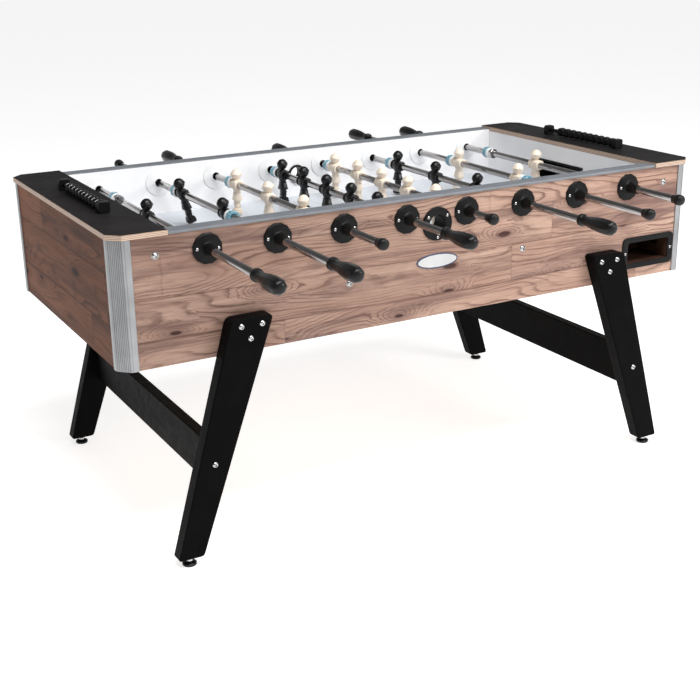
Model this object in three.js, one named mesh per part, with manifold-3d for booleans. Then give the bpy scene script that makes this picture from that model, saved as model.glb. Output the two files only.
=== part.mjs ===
// Foosball table: a wood-look cabinet on four splayed legs, with eight sliding and turning player rods.
// Units are millimetres, +Z is up, +X runs along the table and +Y points to the rear side.
// The origin is on the floor under the middle of the table.
import * as THREE from "three";
import { mergeVertices } from "three/addons/utils/BufferGeometryUtils.js";
import Module from "manifold-3d";

const wasm = await Module();
wasm.setup();

// ---- driving dimensions ----
const GAP = 0.3; // clearance between pieces that touch
const TOP_Z = 700; // top of the end boards above the floor
const CABINET_Z = 430; // underside of the cabinet
const PANEL_OUT_X = 714; // outer face of the end panels
const PANEL_OUT_Y = 347; // outer face of the long panels
const PANEL_T = 33; // panel thickness
const INNER_Y = PANEL_OUT_Y - PANEL_T;
const BOARD_T = 11; // end board thickness
const BOARD_IN_X = 604; // inner edge of an end board
const RAIL_Z = 696; // top of the side rails
const RAIL_T = 2.2;
const BOARD_OUT = 2.5; // how far a board stands past the trims
const TRIM_T = 3; // wall of a corner trim
const CORNER_CUT = 24; // size of the cut corner
const ROD_Z = 652; // rod axis height
const ROD_PITCH = 150;
const ROD_R = 7.75;
const ROD_BORE_R = 8.6; // hole for a rod, wide enough for its corners
const FIELD_DROP = 76; // rod axis above the playfield
const FIELD_T = 8;
const FIELD_Z = ROD_Z - FIELD_DROP;
const GOAL_WALL_X = BOARD_IN_X + GAP; // inner face of a goal wall
const GOAL_WALL_T = 16;
const GOAL_HALF_W = 87;
const GOAL_H = 67;
const LEG_T = 34; // leg thickness across the table
const LEG_BOTTOM = 18; // height of the leg's lower end above the floor
const LEG_TOP = 510;
const BEARING_R = 31.5;
const BEARING_PLATE = 5;
const HUB_LENGTH = 33;
const HUB_R = 11.5;

// ---- the rods, from the left end ----
// men: how many players; slide and tilt: where the rod stands at rest; front: its handle is on the -Y side.
const RODS = [
  { team: "black", men: 1, front: true, slide: -17, tilt: 0 },
  { team: "black", men: 2, front: true, slide: 33, tilt: 15 },
  { team: "cream", men: 3, front: false, slide: 9, tilt: 0 },
  { team: "black", men: 5, front: true, slide: 8, tilt: 0 },
  { team: "cream", men: 5, front: false, slide: 8, tilt: 0 },
  { team: "black", men: 3, front: true, slide: 5, tilt: 0 },
  { team: "cream", men: 2, front: false, slide: -1, tilt: 0 },
  { team: "cream", men: 1, front: false, slide: -2, tilt: 0 },
];
// For each number of men: their spacing, where the bumper, the handle and the end cap start, and how far
// the middle of the tube stands from the middle of the men.
const ROD_KINDS = {
  1: { spacing: 0, bumper: 194, handle: 551, cap: 496, shift: 0 },
  2: { spacing: 252, bumper: 145, handle: 599, cap: 561, shift: -7 },
  3: { spacing: 177, bumper: 196, handle: 550, cap: 494, shift: 0 },
  5: { spacing: 117, bumper: 253, handle: 492, cap: 429, shift: -7 },
};
const BUMPER_L = 26;
const BUMPER_R = 15;
const HANDLE_L = 104;
const HANDLE_END = 20; // solid end of a handle beyond the rod
const CAP_L = 27;
const CAP_R = 11;
const COLLAR_L = 12; // stop collar beside a bumper on a goalkeeper's rod
const COLLAR_R = 12.5;

// ---- materials ----
const paint = (color, roughness, metalness = 0) =>
  new THREE.MeshStandardMaterial({ color, roughness, metalness });
const PINE = paint(0xc29a80, 0.55);
const BLACK_BOARD = paint(0x363334, 0.6);
const BLACK_WOOD = paint(0x161515, 0.45);
const BLACK_PLASTIC = paint(0x1a1a1a, 0.4);
const BLACK_RUBBER = paint(0x1c1c1c, 0.65);
const SLATE = paint(0x6e737a, 0.4, 0.6);
const ALUMINIUM = paint(0xb4b6b8, 0.35, 0.9);
const WHITE = paint(0xf0eef0, 0.4);
const CHROME = paint(0xb8b8ba, 0.15, 1);
const BLUE = paint(0x6fb4cf, 0.25);

// ---- helpers ----
const table = new THREE.Group();

function add(name, geometry, material) {
  const mesh = new THREE.Mesh(geometry, material);
  mesh.name = name;
  table.add(mesh);
}

// A closed geometry as a solid that can be cut and joined.
function solid(geometry) {
  const bare = geometry.index ? geometry.toNonIndexed() : geometry.clone();
  bare.deleteAttribute("normal");
  bare.deleteAttribute("uv");
  const merged = mergeVertices(bare, 1e-3);
  return new wasm.Manifold(
    new wasm.Mesh({
      numProp: 3,
      vertProperties: merged.attributes.position.array,
      triVerts: new Uint32Array(merged.index.array),
    }),
  );
}

function geometryOf(manifold) {
  const mesh = manifold.getMesh();
  const geometry = new THREE.BufferGeometry();
  geometry.setAttribute("position", new THREE.BufferAttribute(new Float32Array(mesh.vertProperties), 3));
  geometry.setIndex(new THREE.BufferAttribute(new Uint32Array(mesh.triVerts), 1));
  return geometry;
}

const joined = (solids) => solids.reduce((a, b) => a.add(b));

function block(x0, x1, y0, y1, z0, z1) {
  const box = new THREE.BoxGeometry(x1 - x0, y1 - y0, z1 - z0);
  return box.translate((x0 + x1) / 2, (y0 + y1) / 2, (z0 + z1) / 2);
}

// A round bar along Y, from y0 to y1, which may taper.
function barY(x, z, r0, r1, y0, y1, sides = 8) {
  const bar = new THREE.CylinderGeometry(r1, r0, y1 - y0, sides);
  return bar.translate(x, (y0 + y1) / 2, z);
}

function shapeOf(points) {
  return new THREE.Shape(points.map(([a, b]) => new THREE.Vector2(a, b)));
}

// An outline in X and Y, raised from z0 to z1.
function prismZ(points, z0, z1) {
  const prism = new THREE.ExtrudeGeometry(shapeOf(points), { depth: z1 - z0, bevelEnabled: false });
  return prism.translate(0, 0, z0);
}

// An outline in Y and Z, drawn out from x0 to x1.
function prismX(points, x0, x1) {
  const prism = new THREE.ExtrudeGeometry(shapeOf(points), { depth: x1 - x0, bevelEnabled: false });
  return prism.rotateZ(Math.PI / 2).rotateY(Math.PI / 2).translate(x0, 0, 0);
}

// An outline in X and Z, drawn out from y0 to y1, with its edges rounded by bevel.
function prismY(points, y0, y1, bevel = 0) {
  const prism = new THREE.ExtrudeGeometry(shapeOf(points), {
    depth: y1 - y0 - 2 * bevel,
    bevelEnabled: bevel > 0,
    bevelThickness: bevel,
    bevelSize: bevel,
    bevelOffset: -bevel,
    bevelSegments: 1,
  });
  return prism.rotateX(Math.PI / 2).translate(0, y1 - bevel, 0);
}

// The same outline on the side sign of the table, listed so that it still runs counter-clockwise.
function onSide(points, sx, sy = 1) {
  const moved = points.map(([a, b]) => [a * sx, b * sy]);
  return sx * sy < 0 ? moved.reverse() : moved;
}

// Rounds each corner of an outline with a short arc. Corners below lowY can have a radius of their own.
function rounded(points, radius, steps = 2, lowY = -Infinity, lowRadius = radius) {
  const out = [];
  points.forEach(([x, y], i) => {
    const r = y < lowY ? lowRadius : radius;
    const before = points[(i + points.length - 1) % points.length];
    const after = points[(i + 1) % points.length];
    const corner = new THREE.Vector2(x, y);
    const a = new THREE.Vector2(...before).sub(corner).setLength(r).add(corner);
    const b = new THREE.Vector2(...after).sub(corner).setLength(r).add(corner);
    const arc = new THREE.QuadraticBezierCurve(a, corner, b);
    arc.getPoints(steps).forEach((p) => out.push([p.x, p.y]));
  });
  return out;
}

const rectangle = (x0, x1, z0, z1) => [
  [x0, z0],
  [x1, z0],
  [x1, z1],
  [x0, z1],
];

const rodX = (i) => (i - (RODS.length - 1) / 2) * ROD_PITCH;

// ---- cabinet ----
const ENTRY = { z: 633, ringR: 36.5, ringT: 4, tubeR: 23, holeR: 20, sides: 16 };
const RETURN = { x: 598, z: 491.5, halfW: 62, halfH: 25, wall: 3.5, rimX: 16, rimZ: 13, rimT: 3, depth: 105 };
const CUT_PAST = 5; // how far a cutting tool runs past the faces it cuts
const PANEL_END_X = PANEL_OUT_X - CORNER_CUT;
const PANEL_TOP = TOP_Z - BOARD_T - GAP;

// The front long panel. The rear one is the same panel turned half round.
function longPanel() {
  const outer = -PANEL_OUT_Y;
  const plateOut = outer - BEARING_PLATE;
  const plateIn = -INNER_Y + BEARING_PLATE;
  const hubTip = plateOut - HUB_LENGTH;
  const past = [hubTip - CUT_PAST, plateIn + CUT_PAST];
  let panel = solid(block(-PANEL_END_X, PANEL_END_X, outer, -INNER_Y, CABINET_Z, PANEL_TOP));
  const seatX = BOARD_IN_X - GAP;
  const seatZ = RAIL_Z - RAIL_T - GAP;
  panel = panel.add(solid(block(-seatX, seatX, outer, -INNER_Y, PANEL_TOP - 1, seatZ)));
  RODS.forEach((_, i) => {
    const x = rodX(i);
    panel = panel.add(solid(barY(x, ROD_Z, BEARING_R, BEARING_R, plateOut, outer + 1)));
    panel = panel.add(solid(barY(x, ROD_Z, BEARING_R, BEARING_R, -INNER_Y - 1, plateIn)));
    panel = panel.add(solid(barY(x, ROD_Z, HUB_R, HUB_R, hubTip, outer)));
    panel = panel.subtract(solid(barY(x, ROD_Z, ROD_BORE_R, ROD_BORE_R, ...past)));
  });
  const halfW = RETURN.halfW + RETURN.wall + GAP;
  const halfH = RETURN.halfH + RETURN.wall + GAP;
  const entryR = ENTRY.tubeR + GAP;
  const entryHole = block(-entryR, entryR, ...past, ENTRY.z - entryR, ENTRY.z + entryR);
  const window = block(RETURN.x - halfW, RETURN.x + halfW, ...past, RETURN.z - halfH, RETURN.z + halfH);
  return geometryOf(panel.subtract(solid(entryHole)).subtract(solid(window)));
}

const panelGeometry = longPanel();
add("front_panel", panelGeometry, PINE);
add("rear_panel", panelGeometry.clone().rotateZ(Math.PI), PINE);

const END_PANEL_IN_X = PANEL_OUT_X - PANEL_T;
const END_Y = INNER_Y - GAP;
add("left_end_panel", block(-PANEL_OUT_X, -END_PANEL_IN_X, -END_Y, END_Y, CABINET_Z, PANEL_TOP), PINE);
add("right_end_panel", block(END_PANEL_IN_X, PANEL_OUT_X, -END_Y, END_Y, CABINET_Z, PANEL_TOP), PINE);

const BOTTOM_T = 10;
const BOTTOM_X = END_PANEL_IN_X - GAP;
add("bottom_board", block(-BOTTOM_X, BOTTOM_X, -END_Y, END_Y, CABINET_Z, CABINET_Z + BOTTOM_T), PINE);

const FIELD_X = GOAL_WALL_X + GOAL_WALL_T;
add("playfield", block(-FIELD_X, FIELD_X, -END_Y, END_Y, FIELD_Z - FIELD_T, FIELD_Z), WHITE);

// A goal wall stands on the playfield and has the goal mouth cut out of its lower edge.
function goalWall(side) {
  const z0 = FIELD_Z + GAP;
  const mouth = FIELD_Z + GOAL_H;
  const outline = [
    [-END_Y, z0],
    [-GOAL_HALF_W, z0],
    [-GOAL_HALF_W, mouth],
    [GOAL_HALF_W, mouth],
    [GOAL_HALF_W, z0],
    [END_Y, z0],
    [END_Y, PANEL_TOP],
    [-END_Y, PANEL_TOP],
  ];
  const x0 = side > 0 ? GOAL_WALL_X : -FIELD_X;
  return prismX(outline, x0, x0 + GOAL_WALL_T);
}

add("left_goal_wall", goalWall(-1), WHITE);
add("right_goal_wall", goalWall(1), WHITE);

// A goal chute is a sloping board behind the goal wall, which leads the ball down to its return tray.
function goalChute(side) {
  const thick = 8;
  const low = { y: -240, z: 545 };
  const high = { y: 120, z: 558 };
  const slope = [
    [low.y, low.z],
    [high.y, high.z],
    [high.y, high.z + thick],
    [low.y, low.z + thick],
  ];
  const x0 = side > 0 ? FIELD_X + GAP : -END_PANEL_IN_X + GAP;
  const width = END_PANEL_IN_X - FIELD_X - 2 * GAP;
  const outline = side > 0 ? slope : slope.map(([y, z]) => [-y, z]).reverse();
  return prismX(outline, x0, x0 + width);
}

add("left_goal_chute", goalChute(-1), PINE);
add("right_goal_chute", goalChute(1), PINE);

// An end board covers one end of the cabinet, with its two outer corners cut off.
function endBoard(side) {
  const x1 = PANEL_OUT_X + TRIM_T + BOARD_OUT;
  const y1 = PANEL_OUT_Y + TRIM_T + BOARD_OUT;
  const outline = [
    [BOARD_IN_X, -y1],
    [x1 - CORNER_CUT, -y1],
    [x1, -y1 + CORNER_CUT],
    [x1, y1 - CORNER_CUT],
    [x1 - CORNER_CUT, y1],
    [BOARD_IN_X, y1],
  ];
  return prismZ(onSide(outline, side), TOP_Z - BOARD_T, TOP_Z);
}

add("left_top_board", endBoard(-1), BLACK_BOARD);
add("right_top_board", endBoard(1), BLACK_BOARD);

// A corner trim fills the cut corner: two flat flanges and a ribbed face between them.
function cornerTrim(sx, sy) {
  const x1 = PANEL_OUT_X + TRIM_T;
  const y1 = PANEL_OUT_Y + TRIM_T;
  const flange = 15;
  const ribs = 5;
  const ribDepth = 1.2;
  const outline = [
    [PANEL_END_X + GAP, INNER_Y],
    [PANEL_OUT_X + GAP, INNER_Y],
    [PANEL_OUT_X + GAP, y1 - CORNER_CUT - flange],
    [x1, y1 - CORNER_CUT - flange],
    [x1, y1 - CORNER_CUT],
  ];
  for (let i = 1; i < 2 * ribs; i++) {
    const t = i / (2 * ribs);
    const inset = i % 2 ? 0 : ribDepth * Math.SQRT1_2;
    outline.push([x1 - t * CORNER_CUT - inset, y1 - (1 - t) * CORNER_CUT - inset]);
  }
  outline.push([x1 - CORNER_CUT, y1]);
  outline.push([x1 - CORNER_CUT - flange, y1]);
  outline.push([x1 - CORNER_CUT - flange, PANEL_OUT_Y + GAP]);
  outline.push([PANEL_END_X + GAP, PANEL_OUT_Y + GAP]);
  return prismZ(onSide(outline, sx, sy), CABINET_Z, PANEL_TOP);
}

for (const [yName, sy] of [["front", -1], ["rear", 1]]) {
  for (const [xName, sx] of [["left", -1], ["right", 1]]) {
    add(`corner_trim_${yName}_${xName}`, cornerTrim(sx, sy), ALUMINIUM);
  }
}

// A side rail caps a long panel between the end boards, with a lip over its outer edge.
function sideRail(side) {
  const lipT = 2.2;
  const lipZ = RAIL_Z - 6;
  const outer = PANEL_OUT_Y + GAP;
  const outline = [
    [INNER_Y, RAIL_Z - RAIL_T],
    [outer, RAIL_Z - RAIL_T],
    [outer, lipZ],
    [outer + lipT, lipZ],
    [outer + lipT, RAIL_Z],
    [INNER_Y, RAIL_Z],
  ];
  return prismX(onSide(outline, side), -BOARD_IN_X + GAP, BOARD_IN_X - GAP);
}

add("front_rail", sideRail(-1), SLATE);
add("rear_rail", sideRail(1), SLATE);

// A ball entry cup is a tube through the long panel with a wide ring outside.
function entryCup() {
  const outer = -PANEL_OUT_Y - GAP;
  const ringOut = outer - ENTRY.ringT;
  const inner = -INNER_Y + 1;
  const { z, ringR, tubeR, holeR, sides } = ENTRY;
  const ring = solid(barY(0, z, ringR, ringR, ringOut, outer, sides));
  const tube = solid(barY(0, z, tubeR, tubeR, ringOut + 1, inner, sides));
  const hole = solid(barY(0, z, holeR, holeR, ringOut - CUT_PAST, inner + CUT_PAST, sides));
  return geometryOf(ring.add(tube).subtract(hole));
}

const cupGeometry = entryCup();
add("front_ball_entry_cup", cupGeometry, BLACK_PLASTIC);
add("rear_ball_entry_cup", cupGeometry.clone().rotateZ(Math.PI), BLACK_PLASTIC);

// A ball return tray has a bezel outside the panel and an open-topped box behind it.
function returnTray() {
  const { x, z, halfW, halfH, wall, rimX, rimZ, rimT, depth } = RETURN;
  const bezelY = -PANEL_OUT_Y - GAP;
  const edge = rectangle(x - halfW - rimX, x + halfW + rimX, z - halfH - rimZ, z + halfH + rimZ);
  const bezel = solid(prismY(rounded(edge, rimX), bezelY - rimT, bezelY));
  const back = bezelY + depth;
  const outW = halfW + wall;
  const outH = halfH + wall;
  const box = solid(block(x - outW, x + outW, bezelY - 1, back, z - outH, z + outH));
  const front = bezelY - rimT - CUT_PAST;
  const mouth = solid(block(x - halfW, x + halfW, front, back - wall, z - halfH, z + halfH));
  const lid = solid(block(x - halfW, x + halfW, -INNER_Y + 1, back - wall, z, z + halfH + 2 * wall));
  return geometryOf(bezel.add(box).subtract(mouth).subtract(lid));
}

const trayGeometry = returnTray();
add("front_ball_return_tray", trayGeometry, BLACK_PLASTIC);
add("rear_ball_return_tray", trayGeometry.clone().rotateZ(Math.PI), BLACK_PLASTIC);

// ---- legs, stretchers and levelling feet ----
const LEG = {
  inTop: 404,
  outTop: 497,
  inBottom: 581,
  outBottom: 637,
  cornerR: 13,
  footR: 7,
  edge: 4,
};
const FOOT_X = (LEG.inBottom + LEG.outBottom) / 2;
const FOOT_Y = PANEL_OUT_Y + GAP + LEG_T / 2;
const PAD_R = 15;
const NUT_R = 8;
const STUD_R = 5;
const STUD_TOP = 40;

function leg(sx, sy) {
  const outline = [
    [LEG.inBottom, LEG_BOTTOM],
    [LEG.outBottom, LEG_BOTTOM],
    [LEG.outTop, LEG_TOP],
    [LEG.inTop, LEG_TOP],
  ];
  const y = sy * (PANEL_OUT_Y + GAP);
  const y0 = Math.min(y, y + sy * LEG_T);
  const shape = rounded(onSide(outline, sx), LEG.cornerR, 2, LEG_TOP / 2, LEG.footR);
  const body = solid(prismY(shape, y0, y0 + LEG_T, LEG.edge));
  const socket = new THREE.CylinderGeometry(STUD_R + GAP, STUD_R + GAP, 60, 10).rotateX(Math.PI / 2);
  socket.translate(sx * FOOT_X, sy * FOOT_Y, STUD_TOP + GAP - 30);
  return geometryOf(body.subtract(solid(socket)));
}

function foot(sx, sy) {
  const profile = [
    [0, 0],
    [PAD_R, 0],
    [PAD_R, 5],
    [NUT_R, 9],
    [NUT_R, 13],
    [STUD_R, 14],
    [STUD_R, STUD_TOP],
    [0, STUD_TOP],
  ];
  const points = profile.map(([r, z]) => new THREE.Vector2(r, z));
  return new THREE.LatheGeometry(points, 10).rotateX(Math.PI / 2).translate(sx * FOOT_X, sy * FOOT_Y, 0);
}

for (const [yName, sy] of [["front", -1], ["rear", 1]]) {
  for (const [xName, sx] of [["left", -1], ["right", 1]]) {
    add(`leg_${yName}_${xName}`, leg(sx, sy), BLACK_WOOD);
    add(`levelling_foot_${yName}_${xName}`, foot(sx, sy), BLACK_RUBBER);
  }
}

const STRETCHER = { x: 545, t: 25, z0: 168, z1: 262 };
const STRETCHER_Y = PANEL_OUT_Y;
for (const [name, sx] of [["left", -1], ["right", 1]]) {
  const x = sx * STRETCHER.x;
  const board = block(
    x - STRETCHER.t / 2,
    x + STRETCHER.t / 2,
    -STRETCHER_Y,
    STRETCHER_Y,
    STRETCHER.z0,
    STRETCHER.z1,
  );
  add(`stretcher_${name}`, board, BLACK_WOOD);
}

// ---- score counters ----
const SCORE = { x: 661, y: -14, halfL: 143, block: 15, postH: 23.5, postHalfW: 12, barZ: TOP_Z + 13, barR: 3.5 };
const BEADS = { count: 10, pitch: 22, r: 11.5, waistR: 8 };

function scoreBar(side) {
  const x = side * SCORE.x;
  const base = TOP_Z + GAP;
  const post = rounded(rectangle(x - SCORE.postHalfW, x + SCORE.postHalfW, base, base + SCORE.postH), 6);
  const [y0, y1] = [SCORE.y - SCORE.halfL, SCORE.y + SCORE.halfL];
  const near = solid(prismY(post, y0, y0 + SCORE.block));
  const far = solid(prismY(post, y1 - SCORE.block, y1));
  const bar = solid(barY(x, SCORE.barZ, SCORE.barR, SCORE.barR, y0 + 2, y1 - 2));
  return geometryOf(joined([near, far, bar]));
}

// Ten counting beads, side by side from the near block: waists between them join them into one solid.
function scoreBeads(side) {
  const bore = SCORE.barR + GAP;
  const start = SCORE.y - SCORE.halfL + SCORE.block + GAP;
  const profile = [];
  for (let i = 0; i < BEADS.count; i++) {
    const y = start + i * BEADS.pitch;
    profile.push([BEADS.waistR, y], [BEADS.r, y + BEADS.pitch / 2]);
  }
  const last = start + BEADS.count * BEADS.pitch;
  profile.push([BEADS.waistR, last]);
  const ring = [[bore, start], ...profile, [bore, last], [bore, start]];
  const points = ring.map(([r, y]) => new THREE.Vector2(r, y));
  return new THREE.LatheGeometry(points, 8).translate(side * SCORE.x, 0, SCORE.barZ);
}

for (const [name, side] of [["left", -1], ["right", 1]]) {
  add(`score_bar_${name}`, scoreBar(side), BLACK_PLASTIC);
  add(`score_beads_${name}`, scoreBeads(side), BLACK_PLASTIC);
}

// ---- player rods ----
// A player seen from the front: half of the outline, as distance from its middle and height above the rod.
const MAN_HALF = [
  [6, 14],
  [17, 7],
  [17, -7],
  [9, -12],
  [13, -34],
  [8, -42],
  [11, -72.5],
];
const MAN_DEPTH = 18;
const HEAD_R = 13;
const HEAD_Z = 24;

// A player on the rod at y, standing upright with its feet down.
function man(y) {
  const left = MAN_HALF.map(([a, b]) => [-a, b]).reverse();
  const body = solid(prismX([...MAN_HALF, ...left].reverse(), -MAN_DEPTH / 2, MAN_DEPTH / 2));
  const head = solid(new THREE.SphereGeometry(HEAD_R, 6, 4).rotateX(Math.PI / 2).translate(0, 0, HEAD_Z));
  return body.add(head).translate(0, y, 0);
}

const menPositions = ({ men }) =>
  Array.from({ length: men }, (_, k) => (k - (men - 1) / 2) * ROD_KINDS[men].spacing);

// A player rod with its players, stop collars, near bumper and end cap, before it is slid and tilted.
function rodSolid(rod) {
  const kind = ROD_KINDS[rod.men];
  const handleSide = rod.front ? -1 : 1;
  const span = (a, b) => [Math.min(a, b), Math.max(a, b)];
  const handleEnd = handleSide * (kind.handle + HANDLE_L - HANDLE_END) + kind.shift;
  const capStart = -handleSide * kind.cap + kind.shift;
  const capEnd = -handleSide * (kind.cap + CAP_L) + kind.shift;
  const pieces = [solid(barY(0, 0, ROD_R, ROD_R, ...span(handleEnd, capEnd + handleSide * 5)))];
  pieces.push(solid(barY(0, 0, CAP_R, CAP_R, ...span(capStart, capEnd))));
  pieces.push(solid(barY(0, 0, BUMPER_R, BUMPER_R, -kind.bumper - BUMPER_L, -kind.bumper)));
  menPositions(rod).forEach((y) => pieces.push(man(y)));
  if (rod.men === 1) {
    pieces.push(solid(barY(0, 0, COLLAR_R, COLLAR_R, kind.bumper - COLLAR_L, kind.bumper - GAP)));
    pieces.push(solid(barY(0, 0, COLLAR_R, COLLAR_R, -kind.bumper - 1, -kind.bumper + COLLAR_L)));
  }
  return joined(pieces);
}

// The loose bumper on the far side: a ring that slides with the rod and doesn't turn with it.
function bumperRing(kind) {
  const bore = ROD_BORE_R;
  const y = kind.bumper;
  const profile = [
    [bore, y],
    [BUMPER_R, y],
    [BUMPER_R, y + BUMPER_L],
    [bore, y + BUMPER_L],
    [bore, y],
  ];
  return new THREE.LatheGeometry(profile.map(([r, h]) => new THREE.Vector2(r, h)), 10);
}

// A turned handle: collar, slim neck and a round bulb. It is bored for the rod's end.
function handleSolid(side, start) {
  const bore = ROD_BORE_R;
  const depth = HANDLE_L - HANDLE_END + GAP;
  const profile = [
    [bore, 0],
    [13, 0],
    [13, 10],
    [10.8, 14],
    [10.8, 26],
    [15.5, 62],
    [16, 86],
    [13, 100],
    [0, HANDLE_L],
    [0, depth],
    [bore, depth],
    [bore, 0],
  ];
  const points = profile.map(([r, y]) => new THREE.Vector2(r, y));
  const handle = new THREE.LatheGeometry(points, 10);
  return side > 0 ? handle.translate(0, start, 0) : handle.rotateX(Math.PI).translate(0, -start, 0);
}

RODS.forEach((rod, i) => {
  const kind = ROD_KINDS[rod.men];
  const tilt = -THREE.MathUtils.degToRad(rod.tilt);
  const name = `rod_${i + 1}`;
  const placed = (geometry) => geometry.rotateY(tilt).translate(rodX(i), rod.slide, ROD_Z);
  add(name, placed(geometryOf(rodSolid(rod))), CHROME);
  const handle = handleSolid(rod.front ? -1 : 1, kind.handle).translate(0, kind.shift, 0);
  add(`${name}_handle`, placed(handle), BLACK_RUBBER);
  add(`${name}_bumper`, bumperRing(kind).translate(rodX(i), rod.slide, ROD_Z), BLUE);
});

export default table;
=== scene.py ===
import math

import bmesh
import bpy
from mathutils import Matrix, Vector


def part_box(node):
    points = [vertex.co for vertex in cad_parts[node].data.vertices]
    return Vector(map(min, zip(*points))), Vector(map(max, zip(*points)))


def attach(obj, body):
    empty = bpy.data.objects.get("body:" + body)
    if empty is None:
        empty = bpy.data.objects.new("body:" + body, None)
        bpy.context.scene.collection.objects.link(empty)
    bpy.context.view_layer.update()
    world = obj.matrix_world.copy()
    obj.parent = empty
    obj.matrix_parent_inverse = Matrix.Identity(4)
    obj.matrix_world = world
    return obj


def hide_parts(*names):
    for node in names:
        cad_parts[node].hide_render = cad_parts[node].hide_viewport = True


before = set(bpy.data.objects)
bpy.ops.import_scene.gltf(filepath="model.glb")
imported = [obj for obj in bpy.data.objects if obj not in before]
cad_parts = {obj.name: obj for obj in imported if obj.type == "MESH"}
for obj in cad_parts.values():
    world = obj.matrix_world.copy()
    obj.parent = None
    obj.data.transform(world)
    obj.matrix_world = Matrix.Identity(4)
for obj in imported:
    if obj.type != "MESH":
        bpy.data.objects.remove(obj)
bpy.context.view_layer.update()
MM = 0.001


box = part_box

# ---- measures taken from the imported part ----
RODS = 8
TEAM = ["black", "black", "cream", "black", "cream", "black", "cream", "cream"]
MEN = [1, 2, 3, 5, 5, 3, 2, 1]
FRONT_HANDLE = [box(f"rod_{i}_handle")[0].y < 0 for i in range(1, RODS + 1)]
TILT = [0, 15, 0, 0, 0, 0, 0, 0]
SPACING = {1: 0.0, 2: 0.252, 3: 0.177, 5: 0.117}
OUT_Y = box("stretcher_left")[1].y
IN_Y = box("bottom_board")[1].y + 0.3 * MM
OUT_X = box("right_end_panel")[1].x
FLOOR_Z = box("levelling_foot_front_left")[0].z
CAB_Z = box("right_end_panel")[0].z
PANEL_TOP = box("right_end_panel")[1].z
TOP_Z = box("right_top_board")[1].z
BOARD_IN = box("right_top_board")[0].x
FIELD_Z = box("playfield")[1].z
RAIL_LIP, RAIL_TOP = box("front_rail")[0].z, box("front_rail")[1].z
RAIL_T = 2.2 * MM
PLANK_LENGTH = 0.93
RING_STEP = 5.6 * MM
ROD_R = 7.75 * MM


def rod_centre(i):
    lo, hi = box(f"rod_{i}_bumper")
    return (lo + hi) / 2


ROD_X = [rod_centre(i).x for i in range(1, RODS + 1)]
ROD_Z = rod_centre(1).z


# ---- shader graphs ----
class Graph:
    """A principled material with short helpers for its node graph."""

    def __init__(self, name):
        self.mat = bpy.data.materials.new(name)
        self.mat.use_nodes = True
        self.tree = self.mat.node_tree
        self.tree.nodes.clear()
        self.out = self.tree.nodes.new("ShaderNodeOutputMaterial")
        self.bsdf = self.tree.nodes.new("ShaderNodeBsdfPrincipled")
        self.tree.links.new(self.bsdf.outputs[0], self.out.inputs[0])
        self.place = self.tree.nodes.new("ShaderNodeTexCoord").outputs["Object"]

    def put(self, socket, value):
        if isinstance(value, bpy.types.NodeSocket):
            self.tree.links.new(value, socket)
        else:
            socket.default_value = value

    def set(self, **values):
        for key, value in values.items():
            name = key.replace("_", " ")
            self.put(self.bsdf.inputs[name], value)
        return self

    def math(self, op, a, b=0.0):
        node = self.tree.nodes.new("ShaderNodeMath")
        node.operation = op
        self.put(node.inputs[0], a)
        self.put(node.inputs[1], b)
        return node.outputs[0]

    def stretch(self, scale, vector=None):
        node = self.tree.nodes.new("ShaderNodeMapping")
        self.put(node.inputs["Vector"], vector or self.place)
        node.inputs["Scale"].default_value = scale
        return node.outputs[0]

    def axes(self, vector=None):
        node = self.tree.nodes.new("ShaderNodeSeparateXYZ")
        self.put(node.inputs[0], vector or self.place)
        return node.outputs

    def join(self, x, y, z):
        node = self.tree.nodes.new("ShaderNodeCombineXYZ")
        for socket, value in zip(node.inputs, (x, y, z)):
            self.put(socket, value)
        return node.outputs[0]

    def noise(self, scale, detail=3.0, rough=0.5, vector=None):
        node = self.tree.nodes.new("ShaderNodeTexNoise")
        self.put(node.inputs["Vector"], vector or self.place)
        node.inputs["Scale"].default_value = scale
        node.inputs["Detail"].default_value = detail
        node.inputs["Roughness"].default_value = rough
        return node.outputs["Fac"]

    def chance(self, value):
        """A random number from 0 to 1 for each value."""
        node = self.tree.nodes.new("ShaderNodeTexWhiteNoise")
        node.noise_dimensions = "1D"
        self.put(node.inputs["W"], value)
        return node.outputs["Value"]

    def cell_centres(self, vector):
        """The middle of the nearest cell, and that cell's random colour."""
        node = self.tree.nodes.new("ShaderNodeTexVoronoi")
        node.voronoi_dimensions = "2D"
        self.put(node.inputs["Vector"], vector)
        node.inputs["Scale"].default_value = 1.0
        node.inputs["Randomness"].default_value = 0.9
        return node.outputs["Position"], node.outputs["Color"]

    def ramp(self, fac, stops):
        node = self.tree.nodes.new("ShaderNodeValToRGB")
        points = node.color_ramp.elements
        while len(points) < len(stops):
            points.new(0.5)
        for point, (at, colour) in zip(points, stops):
            point.position = at
            grey = isinstance(colour, (int, float))
            point.color = (colour, colour, colour, 1) if grey else (*colour, 1)
        self.put(node.inputs[0], fac)
        return node.outputs[0]

    def mix(self, fac, a, b, mode="MIX"):
        node = self.tree.nodes.new("ShaderNodeMix")
        node.data_type = "RGBA"
        node.blend_type = mode
        self.put(node.inputs[0], fac)
        self.put(node.inputs[6], a if isinstance(a, bpy.types.NodeSocket) else (*a, 1))
        self.put(node.inputs[7], b if isinstance(b, bpy.types.NodeSocket) else (*b, 1))
        return node.outputs[2]

    def bump(self, height, depth, strength=1.0):
        node = self.tree.nodes.new("ShaderNodeBump")
        node.inputs["Strength"].default_value = strength
        node.inputs["Distance"].default_value = depth
        self.put(node.inputs["Height"], height)
        self.put(self.bsdf.inputs["Normal"], node.outputs[0])
        return self


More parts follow.
